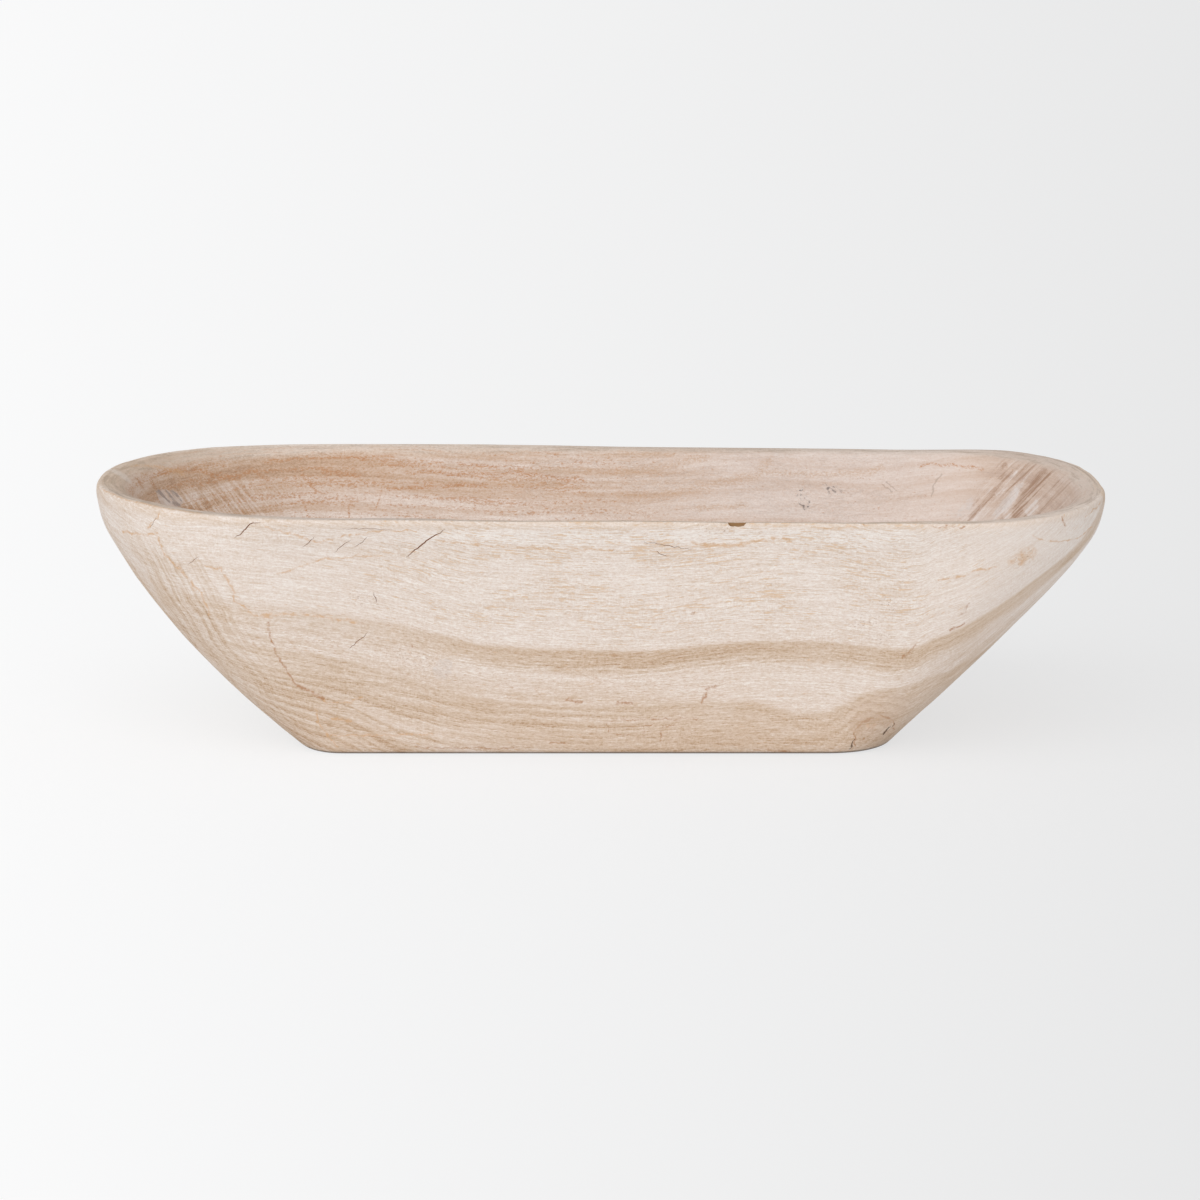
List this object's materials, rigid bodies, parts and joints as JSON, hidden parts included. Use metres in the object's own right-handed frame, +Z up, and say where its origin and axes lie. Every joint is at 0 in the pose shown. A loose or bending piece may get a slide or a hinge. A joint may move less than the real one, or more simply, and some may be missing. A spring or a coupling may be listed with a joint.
{
  "type": "carved wooden bowl",
  "caption": "Long oblong bowl carved from one block of pale whitewashed timber, with steep ends, a flat base and old voids filled flush.",
  "frame": {"origin": "middle of the flat base, on the surface that the bowl stands on", "axes": "+X along the bowl's length and the wood's grain, +Y to the back, +Z up; the pictured side faces -Y"},
  "size_m": [0.61, 0.29, 0.152],
  "materials": {
    "wood": "dry whitewashed timber with tan grain bands, matt",
    "knot": "dead knot, darker and denser than the wood round it, matt",
    "filler": "hard grey-white filler, sanded flush"
  },
  "bodies": {
    "root": {"bowl_block": "wood", "corner_knot": "knot", "filler_front_wall": "filler", "filler_left_end": "filler", "filler_right_end_long": "filler", "filler_right_end_short": "filler", "filler_back_wall_low": "filler", "filler_back_wall_high": "filler"}
  },
  "joints": []
}
